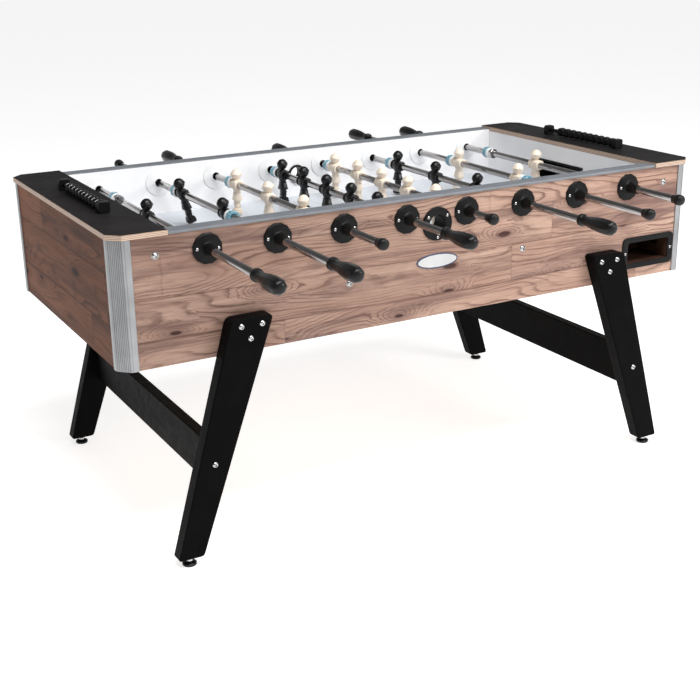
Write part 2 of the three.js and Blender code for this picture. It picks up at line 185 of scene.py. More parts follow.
def pine(name, along, seed, tones, plank=0.083):
    """Printed pine planks. The grain runs along the given axis, and the planks are stacked in z."""
    light, mid, streak, line, knot = tones
    g = Graph(name)
    ax = g.axes()
    sag = g.noise(1.0, 1.0, 0.5, g.stretch((0.9, 0.9, 0.0)))
    rise = g.math("ADD", ax["Z"], g.math("MULTIPLY", sag, 0.03))
    row = g.math("DIVIDE", rise, plank)
    number = g.math("FLOOR", row)
    part = g.math("FRACT", row)
    shift = g.chance(g.math("ADD", number, seed))
    u = g.math("ADD", ax[along], g.math("MULTIPLY", shift, 7.0))
    butt = g.math("DIVIDE", u, PLANK_LENGTH)
    piece = g.chance(g.math("ADD", g.math("FLOOR", butt), g.math("MULTIPLY", number, 3.7)))
    u = g.math("ADD", u, g.math("MULTIPLY", piece, 5.0))
    v = g.math("ADD", rise, g.math("MULTIPLY", shift, 2.0))

    def drawn(along_scale, across_scale, detail, rough, level=0.0):
        at = g.stretch((along_scale, across_scale, 1.0), g.join(u, v, seed + level))
        return g.noise(1.0, detail, rough, at)

    # knots: each lifts the landscape of the year rings, so that rings close around it
    at = g.join(g.math("MULTIPLY", u, 5.2), g.math("MULTIPLY", v, 11.5), 0.0)
    middle, tint = g.cell_centres(at)
    here, centre, pick = g.axes(at), g.axes(middle), g.axes(tint)
    du = g.math("SUBTRACT", here["X"], centre["X"])
    dv = g.math("SUBTRACT", here["Y"], centre["Y"])
    far = g.math("ADD", g.math("MULTIPLY", du, du), g.math("MULTIPLY", g.math("MULTIPLY", dv, dv), 1.6))
    ragged = g.math("ADD", 0.65, g.math("MULTIPLY", drawn(60.0, 120.0, 3.0, 0.6, 2.0), 0.7))
    far = g.math("MULTIPLY", far, ragged)
    chosen = g.ramp(pick["X"], [(0.52, 0.0), (0.56, 1.0)])
    hill = g.math("MULTIPLY", g.math("POWER", math.e, g.math("MULTIPLY", far, -12.0)), chosen)
    size = g.math("ADD", 60.0, g.math("MULTIPLY", pick["Y"], 260.0))
    steep = g.math("MULTIPLY", g.math("MULTIPLY", far, size), -1.0)
    core = g.math("MULTIPLY", g.math("POWER", math.e, steep), chosen)
    raised = g.math("MULTIPLY", hill, 0.034)

    # year rings: contours of a slow landscape, so that they swing round in long loops
    wander = g.math("MULTIPLY", drawn(1.5, 8.5, 2.0, 0.45), 0.125)
    shiver = g.math("MULTIPLY", drawn(14.0, 46.0, 3.0, 0.55, 4.0), 0.0042)
    level = g.math("ADD", g.math("ADD", g.math("MULTIPLY", v, 0.5), raised), g.math("ADD", wander, shiver))
    ring = g.math("FRACT", g.math("DIVIDE", level, RING_STEP))
    late = g.ramp(ring, [(0.0, 0.3), (0.12, 0.0), (0.62, 0.08), (0.86, 1.0), (0.97, 1.0), (1.0, 0.3)])
    late = g.math("MULTIPLY", late, g.ramp(drawn(3.4, 30.0, 3.0, 0.6, 9.0), [(0.34, 0.12), (0.62, 1.0)]))
    fibre = drawn(16.0, 560.0, 3.0, 0.65)
    dash = g.ramp(drawn(22.0, 760.0, 2.0, 0.6, 6.0), [(0.6, 0.0), (0.7, 1.0)])
    cloud = drawn(2.2, 16.0, 3.0, 0.55, 5.0)
    smoke = drawn(1.5, 19.0, 4.0, 0.62, 1.0)
    stain = drawn(5.0, 24.0, 4.0, 0.68, 7.0)

    colour = g.mix(g.ramp(cloud, [(0.36, 0.0), (0.64, 1.0)]), light, mid)
    colour = g.mix(g.math("MULTIPLY", piece, 0.42), colour, mid)
    colour = g.mix(g.ramp(smoke, [(0.5, 0.0), (0.66, 0.9)]), colour, streak)
    colour = g.mix(g.ramp(stain, [(0.56, 0.0), (0.7, 0.6)]), colour, streak)
    colour = g.mix(g.math("MULTIPLY", late, 0.74), colour, line)
    colour = g.mix(g.math("MULTIPLY", dash, 0.4), colour, line)
    colour = g.mix(g.ramp(hill, [(0.4, 0.0), (0.95, 0.55)]), colour, streak)
    colour = g.mix(g.ramp(core, [(0.2, 0.0), (0.62, 0.9)]), colour, knot)
    edge = g.math("ABSOLUTE", g.math("SUBTRACT", part, 0.5))
    depth = g.ramp(drawn(2.0, 3.0, 2.0, 0.5, 8.0), [(0.36, 0.3), (0.6, 0.95)])
    seam = g.math("MULTIPLY", g.ramp(edge, [(0.455, 0.0), (0.487, 0.55), (0.5, 1.0)]), depth)
    colour = g.mix(seam, colour, line)
    end = g.math("ABSOLUTE", g.math("SUBTRACT", g.math("FRACT", butt), 0.5))
    colour = g.mix(g.ramp(end, [(0.4965, 0.0), (0.499, 0.22)]), colour, line)
    colour = g.mix(0.34, colour, g.ramp(fibre, [(0.28, 0.1), (0.72, 1.0)]), "SOFT_LIGHT")
    # painted shade: the colour is darker towards one end of each panel, where less light falls
    across = g.math("ADD", g.math("MULTIPLY", ax[along], 0.7), 0.5)
    painted_shade_fade = g.ramp(across, [(0.0, 0.74), (0.4, 0.79), (0.62, 1.0), (1.0, 1.02)])
    colour = g.mix(1.0, colour, g.join(painted_shade_fade, painted_shade_fade, painted_shade_fade), "MULTIPLY")
    g.set(Base_Color=colour, Specular_IOR_Level=0.06)
    g.set(Roughness=g.ramp(fibre, [(0.3, 0.46), (0.7, 0.62)]))
    g.bump(g.math("SUBTRACT", fibre, g.math("ADD", late, seam)), 0.15 * MM, 0.6)
    return g.mat


FRONT_TONES = (
    (0.52, 0.350, 0.272), (0.385, 0.240, 0.184), (0.165, 0.098, 0.086), (0.118, 0.060, 0.048), (0.05, 0.024, 0.021)
)
# the end and inside pine is darker and more saturated than the front pine: partly its own tone, partly painted shade
# for faces turned away from the light
SHADED_PINE_TONES = (
    (0.250, 0.106, 0.060), (0.175, 0.070, 0.039), (0.070, 0.030, 0.021), (0.054, 0.021, 0.013), (0.024, 0.010, 0.007)
)
PINE_FRONT = pine("pine_front", "X", 1.3, FRONT_TONES)
PINE_END_SHADED = pine("pine_end_painted_shade", "Y", 4.1, SHADED_PINE_TONES, 0.105)
PINE_INSIDE = pine("pine_inside", "X", 8.7, SHADED_PINE_TONES)


def raw_board():
    g = Graph("raw_board")
    chips = g.noise(420.0, 4.0, 0.7)
    g.set(Base_Color=g.ramp(chips, [(0.3, (0.30, 0.19, 0.12)), (0.7, (0.50, 0.35, 0.23))]))
    g.set(Roughness=0.85).bump(chips, 0.3 * MM)
    return g.mat


def laminate(name, low, high, rough=0.34):
    g = Graph(name)
    soft = g.noise(9.0, 3.0, 0.5)
    peel = g.noise(900.0, 2.0, 0.5)
    g.set(Base_Color=g.ramp(soft, [(0.3, low), (0.7, high)]))
    g.set(Roughness=g.ramp(g.noise(38.0, 4.0, 0.6), [(0.3, rough - 0.05), (0.75, rough + 0.1)]))
    g.bump(peel, 0.04 * MM, 0.5)
    return g.mat


def field_laminate():
    """Playfield laminate with thin printed lines: halfway line, centre circle and goal areas."""
    g = Graph("field_laminate")
    x, y, _ = g.axes()
    ax_, ay = g.math("ABSOLUTE", x), g.math("ABSOLUTE", y)
    r = g.math("SQRT", g.math("ADD", g.math("MULTIPLY", x, x), g.math("MULTIPLY", y, y)))

    def band(value, at, half):
        return g.math("LESS_THAN", g.math("ABSOLUTE", g.math("SUBTRACT", value, at)), half)

    def below(value, at):
        return g.math("LESS_THAN", value, at)

    lines = g.math("MAXIMUM", band(x, 0.0, 0.0016), band(r, 0.1, 0.0016))
    for depth, half in ((0.12, 0.11), (0.22, 0.2)):
        front = g.math("MULTIPLY", band(ax_, 0.604 - depth, 0.0016), below(ay, half))
        sides = g.math("MULTIPLY", band(ay, half, 0.0016), g.math("GREATER_THAN", ax_, 0.604 - depth))
        lines = g.math("MAXIMUM", lines, g.math("MAXIMUM", front, sides))
    soft = g.noise(7.0, 3.0, 0.5)
    ground = g.ramp(soft, [(0.3, (0.55, 0.58, 0.63)), (0.7, (0.61, 0.64, 0.69))])
    g.set(Base_Color=g.mix(g.math("MULTIPLY", lines, 0.5), ground, (0.42, 0.45, 0.5)))
    g.set(Roughness=g.ramp(g.noise(30.0, 4.0, 0.6), [(0.3, 0.3), (0.75, 0.42)]))
    g.bump(g.noise(700.0, 2.0, 0.5), 0.05 * MM, 0.5)
    return g.mat


def charcoal():
    g = Graph("charcoal_board")
    speck = g.noise(1400.0, 2.0, 0.6)
    soft = g.noise(6.0, 3.0, 0.5)
    colour = g.mix(g.ramp(soft, [(0.3, 0.0), (0.7, 1.0)]), (0.013, 0.0118, 0.0118), (0.019, 0.0172, 0.0172))
    g.set(Base_Color=g.mix(g.ramp(speck, [(0.62, 0.0), (0.8, 0.3)]), colour, (0.05, 0.046, 0.046)))
    g.set(Roughness=g.ramp(g.noise(25.0, 4.0, 0.6), [(0.3, 0.55), (0.7, 0.68)]), Specular_IOR_Level=0.04)
    g.bump(speck, 0.08 * MM, 0.6)
    return g.mat


def edge_band():
    """Wood edge band with thin pale and dark lines along it."""
    g = Graph("edge_band")
    z = g.axes()["Z"]
    wobble = g.noise(1.0, 2.0, 0.5, g.stretch((6.0, 6.0, 60.0)))
    step = g.math("ADD", g.math("MULTIPLY", z, 330.0), g.math("MULTIPLY", wobble, 0.8))
    line = g.math("PINGPONG", step, 0.5)
    colour = g.ramp(line, [(0.05, (0.22, 0.13, 0.085)), (0.18, (0.45, 0.30, 0.21)), (0.42, (0.62, 0.49, 0.40))])
    g.set(Base_Color=colour, Roughness=0.5)
    g.bump(g.noise(500.0, 3.0, 0.6), 0.06 * MM, 0.6)
    return g.mat


def metal(name, low, high, along, rough=(0.25, 0.4), fine=900.0):
    """Metal with fine brushing along one axis."""
    g = Graph(name)
    scale = [fine, fine, fine]
    scale["XYZ".index(along)] = 6.0
    brush = g.noise(1.0, 3.0, 0.6, g.stretch(tuple(scale)))
    smear = g.noise(14.0, 3.0, 0.6)
    g.set(Base_Color=g.ramp(smear, [(0.3, low), (0.7, high)]), Metallic=1.0)
    g.set(Roughness=g.ramp(brush, [(0.3, rough[0]), (0.7, rough[1])]))
    g.bump(brush, 0.02 * MM, 0.5)
    return g.mat


def painted(name, low, high, rough=(0.4, 0.55), grain=600.0, depth=0.08, coat=0.0, shine=0.5):
    """Paint, lacquer or moulded plastic with a fine texture and uneven gloss."""
    g = Graph(name)
    fine = g.noise(grain, 3.0, 0.6)
    g.set(Base_Color=g.ramp(g.noise(18.0, 3.0, 0.6), [(0.3, low), (0.7, high)]))
    g.set(Roughness=g.ramp(g.noise(45.0, 4.0, 0.65), [(0.3, rough[0]), (0.72, rough[1])]))
    g.set(Specular_IOR_Level=shine)
    if coat:
        g.set(Coat_Weight=coat, Coat_Roughness=0.12)
    g.bump(fine, depth * MM, 0.6)
    return g.mat


RAW = raw_board()
WHITE_LAM = laminate("white_laminate_face", (0.86, 0.855, 0.86), (0.90, 0.895, 0.90))
FIELD_LAM = field_laminate()
CHARCOAL = charcoal()
BAND = edge_band()
SLATE = painted("slate_face", (0.115, 0.127, 0.145), (0.145, 0.158, 0.178), (0.4, 0.52), 900.0, 0.03, shine=0.35)
# a lighter copy of the slate paint for the rail faces that look along Y: painted light on the outer lip
SLATE_LIP_LIT = painted("slate_lip_painted_light", (0.155, 0.165, 0.180), (0.195, 0.205, 0.222), (0.36, 0.5), 900.0, 0.03, shine=0.5)
ALU = metal("trim_aluminium", (0.29, 0.293, 0.30), (0.385, 0.39, 0.398), "Z", (0.34, 0.5))
CHROME = metal("rod_chrome", (0.33, 0.315, 0.31), (0.43, 0.415, 0.41), "Y", (0.06, 0.13), 2200.0)
CHROME_BRIGHT = metal("screw_chrome", (0.46, 0.45, 0.45), (0.58, 0.57, 0.57), "X", (0.14, 0.26), 1500.0)
BLACK_PLASTIC = painted("moulded_black", (0.004, 0.004, 0.004), (0.0065, 0.0065, 0.0065), (0.34, 0.5), shine=0.14)
BLACK_LACQUER = painted(
    "black_lacquer", (0.0022, 0.0021, 0.0022), (0.0036, 0.0034, 0.0036), (0.42, 0.56), 260.0, 0.1, shine=0.03
)
BLACK_GRIP = painted("grip_black", (0.005, 0.005, 0.005), (0.009, 0.009, 0.009), (0.24, 0.36), 1100.0, 0.04, shine=0.24)
BLACK_TEAM = painted("team_black", (0.005, 0.005, 0.005), (0.009, 0.009, 0.009), (0.22, 0.34), 700.0, 0.04, shine=0.3)
CREAM_TEAM = painted("team_cream", (0.82, 0.70, 0.57), (0.88, 0.77, 0.64), (0.3, 0.44), 500.0, 0.05)
WHITE_PLASTIC = painted("ring_white", (0.80, 0.80, 0.80), (0.87, 0.87, 0.87), (0.28, 0.42), 500.0, 0.04)
# near-black brown for the inside of the ball return trays: painted shade of the recess over the tray's wood
SHADED_TRAY_BROWN = painted("tray_painted_shade_brown", (0.030, 0.014, 0.009), (0.060, 0.028, 0.018), (0.5, 0.66), 300.0, 0.1, shine=0.15)
NAVY = painted("enamel_navy", (0.018, 0.030, 0.085), (0.026, 0.040, 0.105), (0.2, 0.3), 300.0, 0.02, 0.5)
ENAMEL = painted("enamel_white", (0.50, 0.50, 0.50), (0.56, 0.56, 0.56), (0.2, 0.3), 300.0, 0.02, 0.5)


def clear_blue():
    g = Graph("bumper_blue")
    streaks = g.noise(160.0, 3.0, 0.6)
    g.set(Base_Color=g.ramp(streaks, [(0.3, (0.10, 0.32, 0.43)), (0.7, (0.34, 0.58, 0.68))]))
    g.set(Roughness=g.ramp(g.noise(60.0, 3.0, 0.6), [(0.3, 0.16), (0.7, 0.3)]))
    g.set(Transmission_Weight=0.25, IOR=1.42)
    g.bump(streaks, 0.1 * MM, 0.4)
    return g.mat


BLUE = clear_blue()


# ---- building meshes ----
class Build:
    """Collects solids in one mesh. Each solid can have its own material and its own place."""

    def __init__(self):
        self.bm = bmesh.new()

    def put(self, verts, faces, mat=0, turn=None):
        made = [self.bm.verts.new(turn @ Vector(v) if turn else Vector(v)) for v in verts]
        for f in faces:
            face = self.bm.faces.new([made[i] for i in f])
            face.material_index = mat
            face.smooth = True
        return self

    def prism(self, outline, axis, lo, hi, mat=0, turn=None):
        """An outline drawn along an axis: a, b are y, z for X; x, z for Y; and x, y for Z."""
        order = {"X": lambda a, b, c: (c, a, b), "Y": lambda a, b, c: (a, c, b), "Z": lambda a, b, c: (a, b, c)}
        n = len(outline)
        verts = [order[axis](a, b, c) for c in (lo, hi) for a, b in outline]
        faces = [tuple(range(n - 1, -1, -1)), tuple(range(n, 2 * n))]
        faces += [(i, (i + 1) % n, n + (i + 1) % n, n + i) for i in range(n)]
        return self.put(verts, faces, mat, turn)

    def block(self, x0, x1, y0, y1, z0, z1, mat=0, turn=None):
        return self.prism([(x0, y0), (x1, y0), (x1, y1), (x0, y1)], "Z", z0, z1, mat, turn)

    def loft(self, rings, mat=0, turn=None, closed=False):
        """Rings of points, all as long, joined in order. Ends are capped unless the last joins the first."""
        n = len(rings[0])
        verts = [p for ring in rings for p in ring]
        faces = []
        for k in range(len(rings) if closed else len(rings) - 1):
            a, b = k * n, (k + 1) % len(rings) * n
            faces += [(a + i, a + (i + 1) % n, b + (i + 1) % n, b + i) for i in range(n)]
        if not closed:
            faces += [tuple(range(n - 1, -1, -1)), tuple((len(rings) - 1) * n + i for i in range(n))]
        return self.put(verts, faces, mat, turn)

    def lathe(self, profile, centre, axis="Y", sides=32, mat=0, turn=None, start=0.0, bored=False):
        """A profile of (radius, height) turned about an axis through centre."""
        cx, cy, cz = centre

        def at(r, h, k):
            t = start + 2 * math.pi * k / sides
            c, s = r * math.cos(t), r * math.sin(t)
            return {"Y": (cx + c, cy + h, cz + s), "Z": (cx + c, cy + s, cz + h), "X": (cx + h, cy + c, cz + s)}[axis]

        rings = [[at(r, h, k) for k in range(sides)] for r, h in profile]
        return self.loft(rings, mat, turn, closed=bored)

    def make(self, name, mats, body="table", slot=None, replaces=(), sharp=40.0, bevel=0.0, steps=2, limit=40.0):
        bmesh.ops.recalc_face_normals(self.bm, faces=self.bm.faces)
        mesh = bpy.data.meshes.new(name)
        self.bm.to_mesh(mesh)
        self.bm.free()
        for m in mats:
            mesh.materials.append(m)
        obj = bpy.data.objects.new(name, mesh)
        bpy.context.scene.collection.objects.link(obj)
        if bevel:
            mod = obj.modifiers.new("eased_edges", "BEVEL")
            mod.width = bevel
            mod.segments = steps
            mod.limit_method = "ANGLE"
            mod.angle_limit = math.radians(limit)
            mod.harden_normals = True
        mesh.set_sharp_from_angle(angle=math.radians(sharp))
        if body:
            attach(obj, body)
        if replaces:
            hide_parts(*replaces)
        return obj


def rounded(points, radius, steps=5, low=None, low_radius=0.0):
    """The outline with each corner turned into an arc. Corners below low have a radius of their own."""
    out = []
    n = len(points)
    for i, p in enumerate(points):
        corner = Vector(p)
        reach = low_radius if low is not None and p[1] < low else radius
        a = corner + (Vector(points[i - 1]) - corner).normalized() * reach
        b = corner + (Vector(points[(i + 1) % n]) - corner).normalized() * reach
        for k in range(steps + 1):
            t = k / steps
            out.append(tuple(a.lerp(corner, t).lerp(corner.lerp(b, t), t)))
    return out


def hoop(r, y, n, x=0.0, z=0.0):
    """A ring of n points around the Y direction."""
    return [(x + r * math.cos(2 * math.pi * k / n), y, z + r * math.sin(2 * math.pi * k / n)) for k in range(n)]


def rectangle(x0, x1, z0, z1):
    return [(x0, z0), (x1, z0), (x1, z1), (x0, z1)]


def mirrored(points, sx=1, sy=1):
    moved = [(a * sx, b * sy) for a, b in points]
    return moved[::-1] if sx * sy < 0 else moved


def carve(target, cutter):
    """Cuts the cutter out of the target for good."""
    mod = target.modifiers.new("cut", "BOOLEAN")
    mod.object = cutter
    mod.solver = "EXACT"
    bpy.context.view_layer.update()
    seen = target.evaluated_get(bpy.context.evaluated_depsgraph_get())
    mesh = bpy.data.meshes.new_from_object(seen)
    target.modifiers.remove(mod)
    target.data = mesh
    bpy.data.objects.remove(cutter)


def recolour(obj, choose):
    for face in obj.data.polygons:
        face.material_index = choose(face.normal, face.center)


def dome_screw(build, x, y, z, r, height, side):
    """A round-headed screw on a face that looks along -Y (side -1) or +Y (side 1)."""
    inner = 0.42 * r
    profile = [(0.0001, height * 0.35), (inner, height * 0.35), (inner, height * 0.98), (0.62 * r, height * 0.86)]
    profile += [(0.86 * r, height * 0.5), (r, height * 0.12), (r, -0.0004)]
    build.lathe([(a, h * side) for a, h in profile], (x, y, z), "Y", 18)


# ---- cabinet ----
for side, where in ((-1, "front"), (1, "rear")):
    out_y, in_y = side * OUT_Y, side * IN_Y
    end_x = box(f"corner_trim_{where}_right")[0].x - 0.3 * MM
    end_x = min(end_x + 0.015, OUT_X - 0.024)
    seat_x, seat_z = BOARD_IN - 0.0003, RAIL_TOP - RAIL_T - 0.0003
    outline = [(-end_x, CAB_Z), (end_x, CAB_Z), (end_x, PANEL_TOP), (seat_x, PANEL_TOP), (seat_x, seat_z)]
    outline += [(-seat_x, seat_z), (-seat_x, PANEL_TOP), (-end_x, PANEL_TOP)]
    panel = Build().prism(outline, "Y", min(out_y, in_y), max(out_y, in_y))
    panel = panel.make(f"{where}_panel_board", [PINE_FRONT, WHITE_LAM, RAW], None)
    cutter = Build()
    span = sorted((out_y + side * 0.01, in_y - side * 0.01))
    for x in ROD_X:
        cutter.lathe([(0.0125, span[0]), (0.0125, span[1])], (x, 0, ROD_Z), "Y", 24)
    cup_lo, cup_hi = box(f"{where}_ball_entry_cup")
    cup = (cup_lo + cup_hi) / 2
    cutter.lathe([(0.0235, span[0]), (0.0235, span[1])], (cup.x, 0, cup.z), "Y", 40)
    tray_lo, tray_hi = box(f"{where}_ball_return_tray")
    tray_x = (tray_lo.x + tray_hi.x) / 2
    tray_z = (tray_lo.z + tray_hi.z) / 2
    half_w, half_h = (tray_hi.x - tray_lo.x) / 2 - 0.0125, (tray_hi.z - tray_lo.z) / 2 - 0.0095
    window = rectangle(tray_x - half_w, tray_x + half_w, tray_z - half_h, tray_z + half_h)
    cutter.prism(window, "Y", *span)
    carve(panel, cutter.make(f"{where}_cutter", [RAW], None))
    recolour(panel, lambda n, c, s=side: 0 if n.y * s > 0.9 else 1 if n.y * s < -0.9 else 2)
    panel.data.shade_flat()
    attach(panel, "table")
    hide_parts(f"{where}_panel")

for side, where in ((-1, "left"), (1, "right")):
    lo, hi = box(f"{where}_end_panel")
    board = Build().block(lo.x, hi.x, lo.y, hi.y, lo.z, hi.z)
    board = board.make(f"{where}_end_board", [PINE_END_SHADED, RAW], "table", "pine_laminate", [f"{where}_end_panel"])
    recolour(board, lambda n, c: 0 if abs(n.x) > 0.9 else 1)
    board.data.shade_flat()

    lo, hi = box(f"{where}_top_board")
    cut = 0.024
    inner, outer = (hi.x, lo.x) if side < 0 else (lo.x, hi.x)
    outline = [(inner, lo.y), (outer - side * cut, lo.y), (outer, lo.y + cut)]
    outline += [(outer, hi.y - cut), (outer - side * cut, hi.y), (inner, hi.y)]
    outline = outline if side > 0 else outline[::-1]
    top = Build().prism(outline, "Z", lo.z, hi.z)
    top = top.make(f"{where}_top_slab", [CHARCOAL, BAND, RAW], "table", "black_board", [f"{where}_top_board"], bevel=0.0008)
    recolour(top, lambda n, c: 0 if n.z > 0.5 else 2 if n.z < -0.5 else 1)

for where, sy in (("front", -1), ("rear", 1)):
    for hand, sx in (("left", -1), ("right", 1)):
        lo, hi = box(f"corner_trim_{where}_{hand}")
        x1, y1 = max(abs(lo.x), abs(hi.x)), max(abs(lo.y), abs(hi.y))
        cut, flange, ribs = 0.024, 0.015, 9
        pts = [(OUT_X - cut + 0.0003, IN_Y), (OUT_X + 0.0003, IN_Y), (OUT_X + 0.0003, y1 - cut - flange)]
        pts += [(x1 - 0.0008, y1 - cut - flange), (x1, y1 - cut - flange + 0.0008), (x1, y1 - cut - 0.0035)]
        pts += [(x1 - 0.0014, y1 - cut - 0.002), (x1 - 0.0014, y1 - cut)]
        for k in range(ribs):
            for t, deep in ((0.12, 1.0), (0.3, 0.0), (0.7, 0.0), (0.88, 1.0)):
                s = (k + t) / ribs
                inset = deep * 0.0011 * math.sqrt(0.5)
                pts.append((x1 - s * cut - inset, y1 - (1 - s) * cut - inset))
        pts += [(x1 - cut, y1 - 0.0014), (x1 - cut - 0.002, y1 - 0.0014), (x1 - cut - 0.0035, y1)]
        pts += [(x1 - cut - flange + 0.0008, y1), (x1 - cut - flange, y1 - 0.0008)]
        pts += [(x1 - cut - flange, OUT_Y + 0.0003), (OUT_X - cut + 0.0003, OUT_Y + 0.0003)]
        name = f"trim_{where}_{hand}"
        trim = Build().prism(mirrored(pts, sx, sy), "Z", lo.z, hi.z)
        trim.make(name, [ALU], "table", "aluminium_trim", [f"corner_trim_{where}_{hand}"], sharp=25)

for side, where in ((-1, "front"), (1, "rear")):
    lo, hi = box(f"{where}_rail")
    inner, outer = min(abs(lo.y), abs(hi.y)), max(abs(lo.y), abs(hi.y))
    under, seat = RAIL_TOP - RAIL_T, OUT_Y + 0.0003
    cap = [(inner, under), (seat, under), (seat, RAIL_LIP), (outer - 0.0005, RAIL_LIP), (outer, RAIL_LIP + 0.0005)]
    cap += [(outer, RAIL_TOP - 0.0012), (outer - 0.0004, RAIL_TOP - 0.0003), (outer - 0.0012, RAIL_TOP)]
    cap += [(outer - 0.0050, RAIL_TOP), (outer - 0.0054, RAIL_TOP - 0.0005), (outer - 0.0062, RAIL_TOP - 0.0005)]
    cap += [(outer - 0.0066, RAIL_TOP), (inner + 0.0062, RAIL_TOP), (inner + 0.0058, RAIL_TOP - 0.0005)]
    cap += [(inner + 0.0050, RAIL_TOP - 0.0005), (inner + 0.0046, RAIL_TOP), (inner + 0.0012, RAIL_TOP)]
    cap += [(inner + 0.0003, RAIL_TOP - 0.0003), (inner, RAIL_TOP - 0.0010)]
    rail = Build().prism(mirrored(cap, side), "X", lo.x, hi.x)
    rail = rail.make(f"{where}_rail_cap", [SLATE, SLATE_LIP_LIT], "table", "slate_rail", [f"{where}_rail"], sharp=30)
    # faces that look along Y take the lighter slate: painted light
    recolour(rail, lambda n, c: 1 if abs(n.y) > 0.9 else 0)

for side, where in ((-1, "left"), (1, "right")):
    lo, hi = box(f"{where}_goal_wall")
    half, top = 0.087, FIELD_Z + 0.067
    face = lo.x if side > 0 else hi.x
    pts = [(lo.y, lo.z), (-half, lo.z), (-half, top), (half, top), (half, lo.z)]
    pts += [(hi.y, lo.z), (hi.y, hi.z), (lo.y, hi.z)]
    wall = Build().prism(pts, "X", lo.x, hi.x)
    mats = [WHITE_LAM, RAW, BLACK_PLASTIC]
    wall = wall.make(f"{where}_goal_board", mats, "table", "white_laminate", [f"{where}_goal_wall"], sharp=20)
    recolour(wall, lambda n, c: 0 if abs(n.x) > 0.9 else 2 if abs(c.y) < 0.09 and c.z < 0.68 else 1)
    # a frame lines the goal mouth, with a dark hood behind it
    goal = Build()
    jamb = 0.005
    proud = sorted((face - side * 0.0015, face))
    for y0, y1 in ((-half - jamb, -half + 0.0005), (half - 0.0005, half + jamb)):
        goal.block(*proud, y0, y1, FIELD_Z + 0.0004, top + jamb)
    goal.block(*proud, -half, half, top - 0.0005, top + jamb)
    goal.make(f"{where}_goal_frame", [BLACK_PLASTIC], "table", "black_plastic", bevel=0.0006)
    hood = Build()
    back = face + side * 0.0165
    deep = face + side * 0.058
    b0, b1 = sorted((back, deep))
    hood.block(b0, b1, -half - 0.002, half + 0.002, top + 0.001, top + 0.004)
    hood.block(b0, b1, -half - 0.005, -half - 0.002, FIELD_Z - 0.006, top + 0.004)
    hood.block(b0, b1, half + 0.002, half + 0.005, FIELD_Z - 0.006, top + 0.004)
    hood.block(*sorted((deep, deep + side * 0.003)), -half - 0.005, half + 0.005, FIELD_Z - 0.006, top + 0.004)
    hood.make(f"{where}_goal_hood", [BLACK_PLASTIC], "table", "black_plastic")

for node, mat, slot in (
    ("playfield", FIELD_LAM, "white_laminate"),
    ("bottom_board", RAW, "pine_laminate"),
    ("left_goal_chute", PINE_INSIDE, "pine_laminate"),
    ("right_goal_chute", PINE_INSIDE, "pine_laminate"),
):
    lo, hi = box(node)
    if node.endswith("chute"):
        side = 1 if node.startswith("right") else -1
        low, high = -0.240 * side, 0.120 * side
        pts = [(low, lo.z), (high, hi.z - 0.008), (high, hi.z), (low, lo.z + 0.008)]
        made = Build().prism(pts, "X", lo.x, hi.x)
    else:
        made = Build().block(lo.x, hi.x, lo.y, hi.y, lo.z, hi.z)
    made.make(f"{node}_sheet", [mat], "table", slot, [node], bevel=0.0006)

# ---- bearings ----
for side, where in ((-1, "front"), (1, "rear")):
    outer, inner = side * OUT_Y, side * IN_Y
    for i, x in enumerate(ROD_X, 1):
        plate = Build()
        rim = [(0.0086, -0.004), (0.0086, 0.0376), (0.0094, 0.0380), (0.0100, 0.0370), (0.0104, 0.0330)]
        rim += [(0.0124, 0.0085), (0.0146, 0.0062), (0.0172, 0.0052), (0.0292, 0.0046), (0.0312, 0.0028), (0.0315, 0.0002)]
        rim += [(0.0118, 0.0002), (0.0118, -0.004)]
        rim = [(r, h * side) for r, h in rim]
        plate.lathe(rim, (x, outer, ROD_Z), "Y", 12, 0, None, math.pi / 12, True)
        plate.make(f"bearing_{where}_{i}", [BLACK_PLASTIC], "table", "black_plastic", sharp=22)
        screws = Build()
        for sx in (-1, 1):
            dome_screw(screws, x + sx * 0.0222, outer + side * 0.0046, ROD_Z - 0.001 * sx, 0.0036, 0.0022, side)
        screws.make(f"bearing_screws_{where}_{i}", [CHROME_BRIGHT], "table", "chrome_rod")
        dish = Build()
        rim = [(0.0094, 0.0002), (0.0322, 0.0002), (0.0326, 0.0012), (0.0318, 0.0022), (0.0296, 0.0026)]
        rim += [(0.0165, 0.0030), (0.0148, 0.0034), (0.0138, 0.0042), (0.0108, 0.0045), (0.0094, 0.0043)]
        rim = [(r, -h * side) for r, h in rim]
        dish.lathe(rim, (x, inner, ROD_Z), "Y", 56, 0, None, 0.0, True)
        ring = [(0.0086, -0.006), (0.0086, 0.0044), (0.0093, 0.0044), (0.0093, -0.006)]
        dish.lathe([(r, -h * side) for r, h in ring], (x, inner, ROD_Z), "Y", 40, 1, None, 0.0, True)
        dish.make(f"inner_bearing_{where}_{i}", [WHITE_PLASTIC, BLACK_PLASTIC], "table", "white_plastic", sharp=35)

